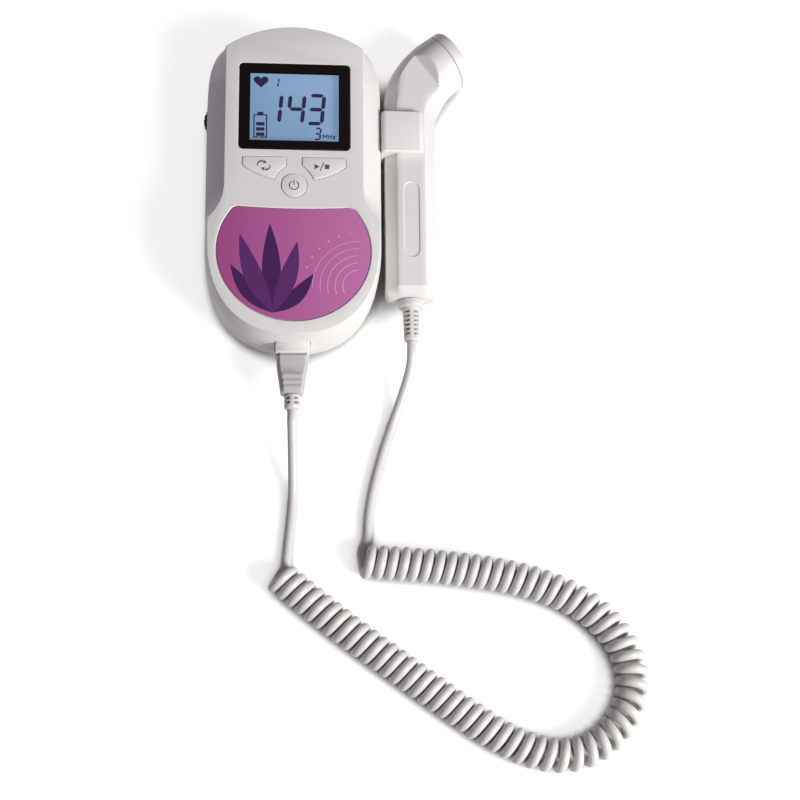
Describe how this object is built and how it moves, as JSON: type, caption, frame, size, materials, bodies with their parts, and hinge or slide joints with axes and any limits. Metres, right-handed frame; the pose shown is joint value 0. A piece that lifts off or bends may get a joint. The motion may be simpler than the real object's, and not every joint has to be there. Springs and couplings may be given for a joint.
{
  "type": "pocket fetal doppler monitor",
  "caption": "Handheld heartbeat monitor with a backlit display, press keys, a face label, a bent-head probe in a side clip and a curly cord to a plug at its bottom end",
  "frame": {"origin": "centre of the monitor's flat back, which rests on the table", "axes": "+X to the monitor's right where the probe is clipped, +Y along its length to the display end, +Z out of its face"},
  "size_m": [0.1773, 0.307, 0.0306],
  "materials": {
    "white_plastic": "fine satin moulding, warm white",
    "grey_rubber": "satin soft jacket, light warm grey",
    "grey_plastic": "satin moulding, light warm grey",
    "black_plastic": "satin black",
    "window": "glossy clear sheet with a black printed border",
    "display_glass": "smooth, backlit pale blue",
    "label_film": "satin printed film, magenta to pale pink",
    "board": "green solder mask",
    "screw_steel": "plated steel",
    "cell_can": "printed jacket, dark",
    "piezo_ceramic": "fired ceramic disc"
  },
  "bodies": {
    "monitor": {"battery_left": "cell_can", "battery_right": "cell_can", "contact_bridge": "screw_steel", "contact_left": "screw_steel", "contact_right": "screw_steel", "cord_coil": "grey_rubber", "cord_plug_end": "grey_rubber", "cord_probe_end": "grey_rubber", "display_window": "window", "earphone_jack": "black_plastic", "front_label": "label_film", "front_shell": "white_plastic", "housing_screw_1": "screw_steel", "housing_screw_2": "screw_steel", "housing_screw_3": "screw_steel", "housing_screw_4": "screw_steel", "lcd_frame": "white_plastic", "lcd_glass": "display_glass", "main_board": "board", "mode_switch": "black_plastic", "play_switch": "black_plastic", "power_switch": "black_plastic", "probe_clip": "white_plastic", "probe_socket": "white_plastic", "rear_shell": "white_plastic", "speaker": "black_plastic", "volume_switch": "black_plastic"},
    "battery_door": {"battery_door": "white_plastic"},
    "mode_key": {"mode_key": "white_plastic"},
    "play_key": {"play_key": "white_plastic"},
    "power_key": {"power_key": "white_plastic"},
    "volume_wheel": {"volume_wheel": "black_plastic"},
    "probe": {"probe_front": "white_plastic", "probe_rear": "white_plastic", "probe_cap": "white_plastic", "crystal": "piezo_ceramic", "crystal_backing": "black_plastic", "probe_board": "board", "probe_boot": "grey_rubber"},
    "plug": {"plug_connector": "grey_plastic", "plug_grip": "grey_plastic", "plug_boot": "grey_rubber"}
  },
  "joints": [
    {"name": "mode_press", "type": "slide", "parent": "monitor", "child": "mode_key", "axis": [0, 0, -1], "range_m": [0, 0.0008], "stiffness_N_per_m": 400, "springref_m": -0.001},
    {"name": "play_press", "type": "slide", "parent": "monitor", "child": "play_key", "axis": [0, 0, -1], "range_m": [0, 0.0008], "stiffness_N_per_m": 400, "springref_m": -0.001},
    {"name": "power_press", "type": "slide", "parent": "monitor", "child": "power_key", "axis": [0, 0, -1], "range_m": [0, 0.0008], "stiffness_N_per_m": 400, "springref_m": -0.001},
    {"name": "volume_turn", "type": "hinge", "parent": "monitor", "child": "volume_wheel", "pos_m": [-0.029, 0.0297, 0.017], "axis": [0, 0, 1], "range_deg": [0, 280]},
    {"name": "battery_door_slide", "type": "slide", "parent": "monitor", "child": "battery_door", "axis": [0, -1, 0], "range_m": [0, 0.045]},
    {"name": "probe_slide", "type": "slide", "parent": "monitor", "child": "probe", "axis": [0, 1, 0], "range_m": [0, 0.045], "deforming": ["cord_probe_end"]},
    {"name": "plug_slide", "type": "slide", "parent": "monitor", "child": "plug", "axis": [0, -1, 0], "range_m": [0, 0.01], "deforming": ["cord_plug_end"]}
  ]
}
